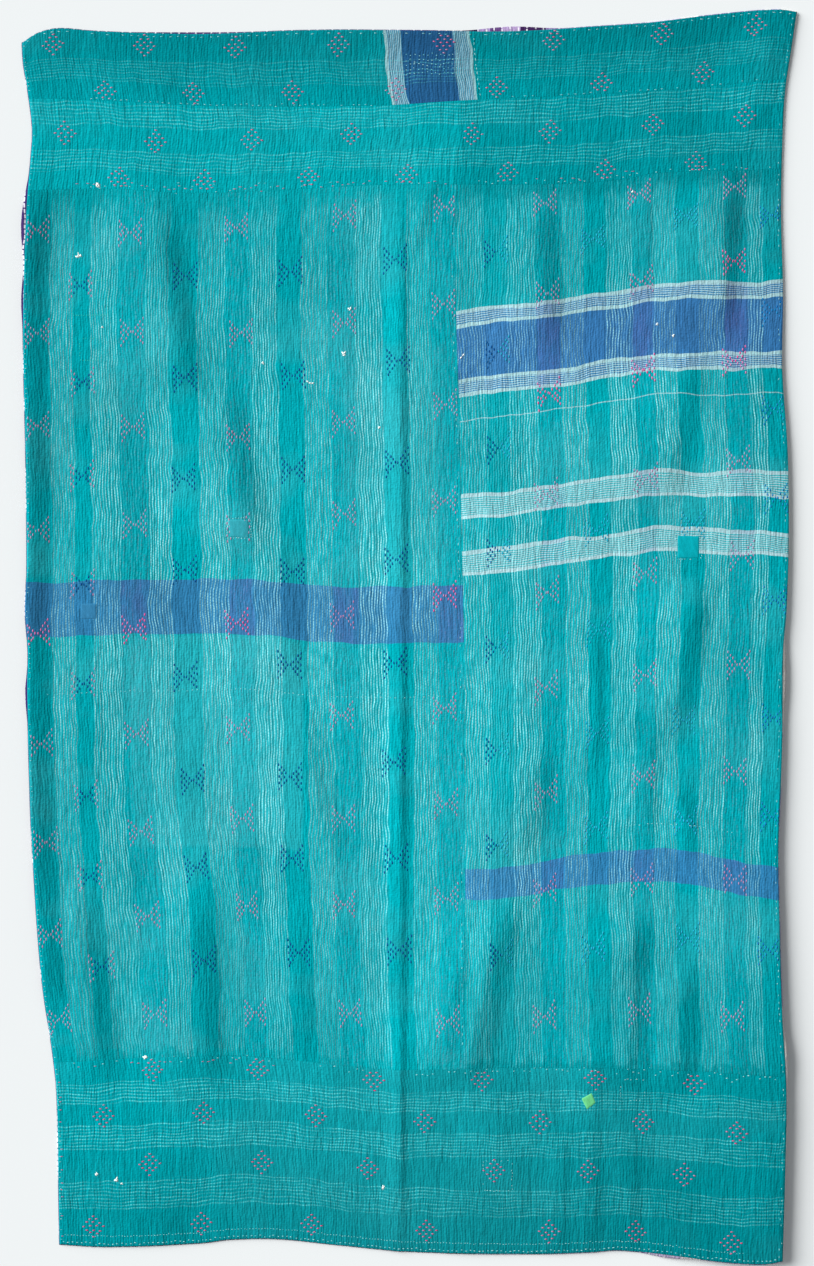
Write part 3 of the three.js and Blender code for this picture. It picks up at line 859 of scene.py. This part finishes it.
def make_cottons():
    """Each panel's own cloth."""
    header, head_left, head_right, left, right, foot = PANELS.values()
    border_lines = band_stops(0, HEAD_BORDER_LINES)
    # The brightness across and up each panel, given below, is painted shade: darker towards one side and one
    # end.
    return {
        "header_strip": cotton(
            "washed_teal_cotton_with_indigo_band", header, HEADER_TEAL, slant=0.135,
            line_groups=band_stops(0, [(34, 74, PLAIN, 0.36)]), bands=band_stops(header.u[0], HEADER_BAND),
            band_lines=band_stops(header.u[0], HEADER_BAND_LINES), painted_side_shade=(1.1, 0.94), painted_end_shade=(1.06, 0.8),
        ),
        "head_border_left": cotton(
            "washed_pale_teal_border_cotton", head_left, BORDER_TEAL_PALE, line_groups=border_lines,
        ),
        "head_border_right": cotton(
            "washed_teal_border_cotton", head_right, BORDER_TEAL, line_groups=border_lines,
            painted_side_shade=(1.02, 0.94), painted_end_shade=(0.94, 1.02),
        ),
        "field_left": cotton(
            "striped_teal_sari_cotton", left, PALE_GROUND, across=stripe_stops(left, LEFT_STRIPES),
            flecks=fleck_stops(left, LEFT_STRIPES), bands=band_stops(left.v[0], LEFT_BANDS),
            painted_side_shade=(0.92, 1.03), ends=(BORDER_TEAL_PALE, 0.97), sunned=0.14,
            panes=[((-470, -185, -370, -18), 9, 0.12), ((-110, 60, 95, 480), 30, 0.08)],
        ),
        "field_right": cotton(
            "striped_teal_sari_cotton_with_bands", right, PALE_GROUND,
            across=stripe_stops(right, RIGHT_STRIPES), flecks=fleck_stops(right, RIGHT_STRIPES),
            bands=band_stops(right.v[0], RIGHT_BANDS), band_lines=band_stops(right.v[0], RIGHT_BAND_LINES),
            hairline=354.0, painted_side_shade=(1.02, 0.88), ends=(BORDER_TEAL, 0.91), sunned=0.13,
        ),
        "foot_border": cotton(
            "washed_teal_foot_cotton", foot, BORDER_TEAL, line_groups=band_stops(0, FOOT_LINES),
            # Painted light: the broad, very soft pane below makes the middle of the foot border paler.
            painted_side_shade=(1.02, 0.73), painted_end_shade=(0.91, 1.18), panes=[((-260, 300, -300, 600), 420, 0.045)],
        ),
    }


# ---------------------------------------------------------------- motifs
UPRIGHT = math.pi / 2
COLUMN_PITCH, ROW_PITCH, MOTIF_TILT = 4.1, 10.6, 0.14
DIAMOND_PITCH, DIAMOND_RISE = 11.0, 5.8
DASH_LENGTH, DASH_LIFT = 6.2, 0.25
DASH_WIDTH, PINK_DASH_WIDTH, BORDER_DASH_WIDTH = 3.1, 2.4, 2.5
DASH_STRAY_U, DASH_STRAY_V, DASH_TURN, BORDER_DASH_TURN = 0.45, 0.7, 0.12, 0.14
MOTIF_MARGIN_U, MOTIF_MARGIN_V = 2, 3


def hourglass():
    """Dash places of one motif, and each one's column: five columns each side of the middle, numbered out
    from -1 and 1, with 1 to 5 dashes, half a row apart."""
    places = []
    for column in range(1, 6):
        rises = (np.arange(column) - (column - 1) / 2) * ROW_PITCH
        for side in (-1, 1):
            across = side * (column - 0.5) * COLUMN_PITCH
            places += [(across, rise + MOTIF_TILT * across, side * column) for rise in rises]
    return np.array(places)


def diamond():
    """Dash places of one border motif: seven rows of 1, 2, 3, 4, 3, 2, 1 dashes, each half a dash aside."""
    return np.array([((number - (3 - abs(level)) / 2) * DIAMOND_PITCH, level * DIAMOND_RISE, 0)
                     for level in range(-3, 4) for number in range(4 - abs(level))])


# The motifs down the fields, stripe by stripe, as x and y of their middles.
FIELD_MOTIFS = [
    ("field_left", "pink", [(-620, 675), (-620, 504), (-620, 349), (-620, 174), (-614, -181),
                            (-605, -346), (-598, -498), (-584, -640)]),
    ("field_left", "both", [(-549, 584), (-545, 423), (-546, 266), (-545, 86), (-544, -81), (-539, -268),
                            (-533, -402), (-513, -552)]),
    ("field_left", "pink", [(-465, 671), (-462, 506), (-461, 348), (-458, 185), (-455, -164),
                            (-448, -327), (-436, -468), (-424, -631)]),
    ("field_left", "navy", [(-374, 599), (-374, 429), (-377, 262), (-375, 109), (-374, -68), (-362, -241),
                            (-355, -387), (-342, -542)]),
    ("field_left", "pink", [(-289, 680), (-281, 505), (-285, 331), (-285, 179), (-286, -155),
                            (-279, -306), (-271, -452), (-257, -629)]),
    ("field_left", "navy", [(-199, 607), (-194, 433), (-194, 276), (-195, 106), (-200, -49), (-199, -235),
                            (-196, -372), (-185, -529)]),
    ("field_left", "pink", [(-108, 700), (-109, 522), (-110, 356), (-109, 203), (-112, 32), (-113, -134),
                            (-110, -306), (-109, -449), (-99, -630)]),
    ("field_left", "navy", [(-24, 627), (-19, 458), (-21, 289), (-22, 126), (-24, -46), (-26, -211),
                            (-22, -372), (-17, -525)]),
    ("field_left", "rose", [(-620, 3), (-459, 11), (-288, 21), (59, 66)]),
    ("field_left", "pink", [(60, 715), (57, 552), (60, 385), (58, 224), (59, -122), (61, -281),
                            (62, -439), (64, -642)]),
    ("field_right", "half", [(144, 640), (147, 473), (149, 313), (149, 141), (146, -20), (146, -191),
                             (146, -350), (153, -532)]),
    ("field_right", "pink", [(226, 721), (230, 570), (228, 236), (230, 72), (228, -87),
                             (228, -262), (226, -425), (225, -636)]),
    ("field_right", "faint", [(306, 662), (312, 175), (315, 9), (313, -162), (311, -321), (306, -521)]),
    ("field_right", "pink", [(383, 736), (387, 590), (394, 261), (393, 104), (392, -66),
                             (390, -235), (388, -408), (383, -624)]),
    ("field_right", "faint", [(460, 698), (473, 185), (457, -141), (460, -308), (464, -504)]),
    ("field_right", "pink", [(542, 748), (548, 291), (554, 133), (548, -49),
                             (542, -226), (542, -406), (537, -634)]),
    ("field_right", "rose", [(233, 403), (390, 442), (541, 623), (541, 458)]),
    ("field_right", "blue", [(604, 701), (607, 542), (607, 377), (611, 229), (608, 59), (606, -137),
                             (603, -301), (598, -523)]),
]
# Which columns of a motif are sewn in which thread: thread, first column, last column.
MOTIF_KINDS = {
    "pink": [("pink", -5, 5)], "rose": [("field_rose", -5, 5)], "navy": [("navy", -5, 5)],
    "faint": [("faint", -5, 5)], "blue": [("blue", -5, 5)], "half": [("navy", -5, -1), ("faint", 1, 5)],
    "both": [("pink", -5, -4), ("navy", -3, 3), ("pink", 4, 5)],
}
# The diamonds along the borders, row by row, as x and y of their middles.
BORDER_MOTIFS = [
    ("header_strip", [(-594, 986), (-442, 984), (-290, 981), (-118, 986), (58, 989), (241, 993), (422, 1003),
                      (577, 1016)]),
    ("header_strip", [(-507, 908), (-360, 905), (-195, 906), (-23, 911), (146, 914), (321, 921), (490, 938)]),
    ("head_border_left", [(-574, 838), (-423, 824), (-263, 827), (-96, 836)]),
    ("head_border_right", [(104, 836), (235, 841), (407, 853), (560, 866)]),
    ("head_border_left", [(-485, 763), (-342, 758), (-168, 764), (-4, 768)]),
    ("head_border_right", [(164, 772), (326, 776), (478, 789)]),
    ("foot_border", [(-428, -724), (-253, -724), (-59, -741), (121, -741), (310, -738), (475, -746)]),
    ("foot_border", [(-510, -801), (-343, -796), (-156, -801), (26, -811), (218, -812), (390, -812),
                     (544, -827)]),
    ("foot_border", [(-433, -881), (-246, -879), (-69, -889), (141, -893), (298, -893), (458, -899)]),
    ("foot_border", [(-527, -986), (-347, -981), (-163, -983), (29, -993), (233, -994), (378, -994),
                     (535, -1010)]),
]


def motif_dashes(panel, chart, middles, first=-9, last=9):
    """Every chart place from the first to the last column round every middle, each dash a little out of
    line. Gives u and v, without the dashes that would fall off the panel."""
    chart = chart[(chart[:, 2] >= first) & (chart[:, 2] <= last)]
    middles = np.array(middles, float)
    middle_u, middle_v = panel.find(middles[:, 0], middles[:, 1])
    u = (middle_u[:, None] + chart[:, 0]).ravel()
    v = (middle_v[:, None] + chart[:, 1]).ravel()
    u = u + RNG.normal(0, DASH_STRAY_U, u.shape)
    v = v + RNG.normal(0, DASH_STRAY_V, v.shape)
    inside = (u > panel.u[0] + MOTIF_MARGIN_U) & (u < panel.u[1] - MOTIF_MARGIN_U)
    inside &= (v > panel.v[0] + MOTIF_MARGIN_V) & (v < panel.v[1] - MOTIF_MARGIN_V)
    return u[inside], v[inside]


def make_motifs():
    """The woven hourglasses down the fields and the diamonds along the borders, in raised thread."""
    threads = {
        "pink": thread("faded_pink_cotton_thread", "#B26F97", "#988FB0"),
        "border_pink": thread("washed_pink_cotton_thread", "#C4557F", "#A3809F"),
        "navy": thread("navy_cotton_thread", "#064384", "#07548A"),
        "faint": thread("washed_out_blue_cotton_thread", "#2396BC", "#1799AE"),
        "blue": thread("faded_blue_cotton_thread", "#0A63A6", "#1585B0"),
        "rose": thread("rose_cotton_thread", "#C6386F", "#B07095"),
        "field_rose": thread("bright_rose_cotton_thread", "#D14886", "#B377A6"),
    }
    parts = {name: [] for name in threads}
    for node, kind, middles in FIELD_MOTIFS:
        for name, first, last in MOTIF_KINDS[kind]:
            u, v = motif_dashes(PANELS[node], hourglass(), middles, first, last)
            turn = UPRIGHT + RNG.normal(0, DASH_TURN, u.shape)
            width = PINK_DASH_WIDTH if name == "pink" else DASH_WIDTH
            parts[name].append(stitches(PANELS[node], u, v, turn, DASH_LENGTH, width, DASH_LIFT))
    for node, middles in BORDER_MOTIFS:
        u, v = motif_dashes(PANELS[node], diamond(), middles)
        turn = RNG.normal(0, BORDER_DASH_TURN, u.shape)
        name = "rose" if node == "foot_border" else "border_pink"
        parts[name].append(stitches(PANELS[node], u, v, turn, DASH_LENGTH, BORDER_DASH_WIDTH, DASH_LIFT))
    for name, dashes in parts.items():
        joined(f"woven_motifs_{name}", dashes, threads[name])


# ---------------------------------------------------------------- sewing
SEWN_LIFT, SEWN_TURN, SEWN_SLIP = 0.3, 0.12, 0.08
SEWN_LENGTHS = (0.7, 1.2)


def sewn_line(panel, start, end, pitch, length, width, stray=0.5, kept=1.0, across=False):
    """A running stitch from start to end, both (u, v): dashes a pitch apart, in line or across the line, each
    out of line by about stray, with a share of them kept."""
    start, end = np.array(start, float), np.array(end, float)
    distance = np.hypot(*(end - start))
    share = (np.arange(max(1, int(distance / pitch))) + 0.5) * pitch / distance
    share = share[RNG.random(share.shape) < kept]
    share = share + RNG.normal(0, SEWN_SLIP * pitch / distance, share.shape)
    normal = np.array([-(end - start)[1], (end - start)[0]]) / distance
    off = RNG.normal(0, stray, share.shape)
    u, v = (mix(start[axis], end[axis], share) + normal[axis] * off for axis in (0, 1))
    turn = math.atan2(end[1] - start[1], end[0] - start[0]) + (UPRIGHT if across else 0)
    lengths = length * RNG.uniform(*SEWN_LENGTHS, share.shape)
    return stitches(panel, u, v, turn + RNG.normal(0, SEWN_TURN, share.shape), lengths, width, SEWN_LIFT)


def edge_rows(panel):
    """The rows of stitches just inside the panel's outer edges, as sewn_line takes them."""
    (u0, u1), (v0, v1) = panel.u, panel.v
    rows = {
        "left": [((u0 + 3.5, v0 + 4), (u0 + 3.5, v1 - 2), 8.5, 4, 1.0, 0.5, 0.7, True)],
        "right": [((u1 - 5.5, v0 + 4), (u1 - 5.5, v1 - 2), 10, 4, 1.1, 0.8, 0.6)],
        "head": [((u0 + 4, v1 - 5.5), (u1 - 4, v1 - 5.5), 13, 5.5, 1.1, 0.5, 0.75)],
        "foot": [((u0 + 4, v0 + 5), (u1 - 4, v0 + 5), 7.5, 4, 1.2, 0.8),
                 ((u0 + 8, v0 + 17), (u1 - 60, v0 + 16), 5, 3.1, 1.1, 0.5)],
    }
    return [row for side in rows if side in panel.outer for row in rows[side]]


# Columns: panel, start and end as (u, v), pitch, length, width, stray, share kept, whether they lie across.
SEAM_ROWS = [
    ("header_strip", (-540, 2.5), (-60, 2.5), 10, 4.5, 1.1, 1, 0.8),
    ("header_strip", (118, 3), (620, 3), 12, 5, 1.0, 0.5, 0.4),
    ("header_strip", (119, 5), (104, 112), 9, 5.5, 1.3),
    *[("header_strip", (-8, v), (88, v), 7, 3.5, 1.3, 1.2) for v in (50, 57, 64, 72, 80)],
    ("head_border_left", (-600, 3), (70, 3), 13, 4, 1.2, 2.2, 0.35),
    ("head_border_left", (-400, 12), (-120, 9), 12, 6, 1.0, 4, 0.4),
    ("head_border_right", (90, 3), (612, 3), 11, 4, 1.3, 2.5, 0.6),
    ("field_left", (79, -700), (79, 730), 14, 5, 1.2, 0.5, 0.5),
    ("field_left", (-610, -112), (60, -104), 8, 3.4, 1.2, 0.7, 0.85),
    ("field_right", (345, -350), (560, -346), 8, 3, 1.2, 0.7, 0.8),
    ("foot_border", (-560, 297), (-60, 297), 12, 5, 1.2, 2.6, 0.45),
    ("foot_border", (0, 296), (612, 296), 9, 4, 1.5, 3.5, 0.7),
]
PINK_ROWS = [
    ("foot_border", (-582, 8), (-582, 285), 11, 6, 1.4, 0.5, 0.5, True),
    ("head_border_left", (-600, 7), (70, 6), 9, 6, 1.2, 2.5, 0.45),
    ("head_border_right", (150, 9), (600, 9), 10, 6, 1.1, 2.5, 0.3),
    ("foot_border", (-560, 292), (-200, 291), 9, 6, 1.1, 2.5, 0.3),
]


def make_sewing():
    """Undyed thread along the edges and seams, whipping the left side, and rose thread beside it."""
    white = thread("undyed_cotton_thread", "#A6DADA", "#5DBAC0")
    edges = [sewn_line(panel, *row) for panel in PANELS.values() for row in edge_rows(panel)]
    joined("edge_stitches", edges, white)
    seams = [sewn_line(PANELS[node], *row) for node, *row in SEAM_ROWS]
    joined("seam_stitches", seams, white)
    pink = thread("bright_pink_cotton_thread", "#C8487C", "#A5729B")
    beside = [sewn_line(PANELS[node], *row) for node, *row in PINK_ROWS]
    joined("pink_stitches", beside, pink)


# ---------------------------------------------------------------- mends and lint
# Columns: piece, panel, its four corners, how high its middle stands, its cloth and its colour.
MENDS = [
    ("lime_mend", "foot_border", [(296, -791), (311, -779), (304, -762), (286, -772)], 0.5,
     "lime_cotton_scrap", "#6BCB86"),
    ("teal_mend", "field_right", [(446, 128), (484, 128), (484, 166), (446, 168)], 0.4,
     "teal_cotton_scrap", "#08A0AB"),
    ("pale_mend", "field_left", [(-300, 164), (-266, 161), (-267, 193), (-303, 194)], 0.35,
     "pale_teal_cotton_scrap", "#35A3B0"),
    ("band_mend", "field_left", [(-549, 27), (-521, 27), (-521, 54), (-549, 54)], 0.35,
     "blue_grey_cotton_scrap", "#377EA8"),
]
MEND_GRID = np.linspace(0, 1, 13)
MEND_RIM_SLOPE, MEND_RIM_SINK, MEND_ROOT = 8, 0.15, 0.25

# Boxes of stitches where scraps lie under the cloth. Columns: panel, two corners as (x, y), pitch, length,
# width, share kept.
GREEN_BOXES = [
    ("field_left", (-562, 534), (-503, 592), 4.2, 2.8, 1.0, 0.85),
    ("field_left", (-550, 459), (-518, 496), 4.0, 2.6, 1.0, 0.85),
    ("field_left", (-585, 345), (-500, 385), 5.5, 2.8, 0.9, 0.6),
]
WHITE_BOXES = [
    ("field_right", (444, 127), (486, 168), 4.5, 2.8, 0.9, 0.6),
    ("field_left", (-304, 162), (-264, 195), 4.5, 2.8, 0.9, 0.8),
    ("foot_border", (123, -926), (171, -876), 5.0, 2.8, 0.9, 0.7),
    ("foot_border", (352, -775), (392, -740), 5.0, 2.8, 0.9, 0.5),
]


def patch(name, panel, corners, lift, material):
    """A mend: a thin closed sheet between four corners, each (x, y), on the front's upper face, its middle
    lifted and its rim sunk into the cloth."""
    corners = np.array(corners, float)
    s, t = np.meshgrid(MEND_GRID, MEND_GRID)
    across = [mix(corners[0][axis], corners[1][axis], s) for axis in (0, 1)]
    above = [mix(corners[3][axis], corners[2][axis], s) for axis in (0, 1)]
    u, v = panel.find(*(mix(low, high, t) for low, high in zip(across, above)))
    x, y, z = front_top(panel, u, v)
    rim = 1 - smooth(MEND_RIM_SLOPE * np.minimum(np.minimum(s, 1 - s), np.minimum(t, 1 - t)))
    piece = closed_sheet(name, x, y, z + lift - (lift + MEND_RIM_SINK) * rim, z - MEND_ROOT, (u, v), material)
    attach(piece, "root")


def patch_cotton(name, colour):
    """A scrap of plain cotton: matt, faintly mottled, with the yarn's grain drawn as thick as shows."""
    material, tree, shader = new_material(name, **COTTON_FINISH)
    uv = add(tree, "UVMap", {"uv_map": "cloth"})
    tone = stretched_noise(tree, uv, (1, 0.4), 220.0, 3.0, 0.88, 1.1)
    grain = add(tree, "TexNoise", FLAT, Vector=uv, Scale=700.0, Detail=2.0)
    mottled = add(tree, "HueSaturation", Value=tone, Color=linear(colour))
    dress(tree, shader, mottled, add(tree, "Bump", Strength=0.6, Distance=0.4 * MM, Height=grain))
    return material


def sewn_boxes(boxes):
    """A running stitch along each side of each box."""
    lines = []
    for node, (x0, y0), (x1, y1), *size, kept in boxes:
        corners = np.array([(x0, y0), (x1, y0), (x1, y1), (x0, y1)], float)
        corners = np.stack(PANELS[node].find(corners[:, 0], corners[:, 1]), -1)
        lines += [sewn_line(PANELS[node], start, end, *size, kept=kept)
                  for start, end in zip(corners, np.roll(corners, -1, axis=0))]
    return lines


def make_mends():
    """Scraps sewn over worn places, and the outlines of others."""
    for name, node, corners, lift, cloth, colour in MENDS:
        patch(name, PANELS[node], corners, lift, patch_cotton(cloth, colour))
    green = thread("pale_green_cotton_thread", "#4CC3A0", "#2FB59F")
    joined("green_outlines", sewn_boxes(GREEN_BOXES), green)
    white = thread("thin_white_cotton_thread", "#BFE3E2", "#8CCBCD")
    joined("white_outlines", sewn_boxes(WHITE_BOXES), white)


# Middles of the lint tufts as x, y and spread.
TUFTS = {
    "head_border_left": [(-521, 751, 5.5)],
    "field_left": [(-552, 634, 6), (-51, 347, 4.5), (-512, 514, 2.5), (-99, 545, 4), (-109, 470, 5),
                   (-440, -703, 5), (-245, 455, 3)],
    "field_right": [(413, 519, 3.5), (372, 740, 3), (440, 500, 3)],
    "foot_border": [(-522, -899, 4), (-489, -908, 5), (-44, -921, 4), (-480, -914, 3)],
}
TUFT_CURLS, TUFT_STRAY, CURL_WIDTH = 7, 0.28, 0.4
CURL_LENGTHS, CURL_LIFTS = (0.8, 1.5), (0.6, 1.4)
LOOSE_LENGTH, LOOSE_WIDTH, LOOSE_LIFT = 5.5, 2.6, 0.8
# Short loose ends of thread, each a few pieces end to end: panel, their x, their y and how each is turned.
LOOSE_ENDS = [
    ("field_right", [86, 90], [463.5, 468], [0.8, 0.95]),
    ("field_left", [-170, -165.5, -161], [423.5, 421, 421], [-0.75, -0.25, 0.2]),
]


def make_lint():
    """Tufts of lint, short curls of thread heaped at random angles round each middle, and loose ends."""
    lint = thread("loose_white_cotton_lint", "#F2F3EE", "#DDE7E4")
    parts = []
    for node, tufts in TUFTS.items():
        for x, y, reach in tufts:
            u, v = PANELS[node].find(np.array([x], float), np.array([y], float))
            away = RNG.normal(0, reach * TUFT_STRAY, (2, TUFT_CURLS))
            turn = RNG.uniform(0, math.pi, TUFT_CURLS)
            size = reach * RNG.uniform(*CURL_LENGTHS, TUFT_CURLS)
            lift = RNG.uniform(*CURL_LIFTS, TUFT_CURLS)
            u, v, width = u + away[0], v + away[1], size * CURL_WIDTH
            parts.append(stitches(PANELS[node], u, v, turn, size, width, lift))
    for node, x, y, turns in LOOSE_ENDS:
        u, v = PANELS[node].find(np.array(x, float), np.array(y, float))
        parts.append(stitches(PANELS[node], u, v, np.array(turns), LOOSE_LENGTH, LOOSE_WIDTH, LOOSE_LIFT))
    joined("lint_tufts", parts, lint)


# ---------------------------------------------------------------- stage, light, camera
def make_stage():
    """A wide pale floor just under the quilt, in rolled matt paint: an even white without glare."""
    reach, depth = 7.0, -0.0004
    mesh = bpy.data.meshes.new("floor")
    mesh.from_pydata([(-reach, -reach, depth), (reach, -reach, depth), (reach, reach, depth),
                      (-reach, reach, depth)], [], [(0, 1, 2, 3)])
    floor = bpy.data.objects.new("floor", mesh)
    bpy.context.scene.collection.objects.link(floor)
    paint, _, _ = new_material("matt_white_wall_paint", Roughness=0.9, Specular_IOR_Level=0.2,
                               Base_Color=linear("#E9ECEC"))
    mesh.materials.append(paint)


def make_light():
    """Soft low daylight from the upper left, and a pale room round it."""
    data = bpy.data.lights.new("daylight", "SUN")
    data.energy, data.angle = 6.35, math.radians(44)
    daylight = bpy.data.objects.new("daylight", data)
    daylight.location = (-6.0, 3.0, 2.9)
    daylight.rotation_euler = (-daylight.location).to_track_quat("-Z", "Y").to_euler()
    bpy.context.scene.collection.objects.link(daylight)
    world = bpy.data.worlds.new("room")
    world.use_nodes = True
    background = world.node_tree.nodes["Background"]
    background.inputs["Color"].default_value = linear("#F2F6FA")
    background.inputs["Strength"].default_value = 0.3
    bpy.context.scene.world = world


# The view is 1266 pixels of 1.67 mm high. Its middle lies a little up and left of the frame's own.
VIEW_HEIGHT = 1266 * 1.67
VIEW_X, VIEW_Y = -4.2, 4.2
LENS, SENSOR = 50.0, 36.0


def make_camera():
    """Straight above the quilt, its head at the top of the view, as far off as the lens needs."""
    data = bpy.data.cameras.new("camera")
    data.lens, data.sensor_width = LENS, SENSOR
    camera = bpy.data.objects.new("camera", data)
    camera.location = (VIEW_X * MM, VIEW_Y * MM, VIEW_HEIGHT * MM * LENS / SENSOR)
    bpy.context.scene.collection.objects.link(camera)
    bpy.context.scene.camera = camera


make_stage()
make_light()
make_camera()
backing = backing_sheet(backing_cotton())
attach(backing, "root")
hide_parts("backing")
for node, material in make_cottons().items():
    cloth = front_panel(PANELS[node], material)
    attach(cloth, "root")
    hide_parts(node)
make_motifs()
make_sewing()
make_mends()
make_lint()

bpy.context.scene.view_settings.view_transform = "Standard"
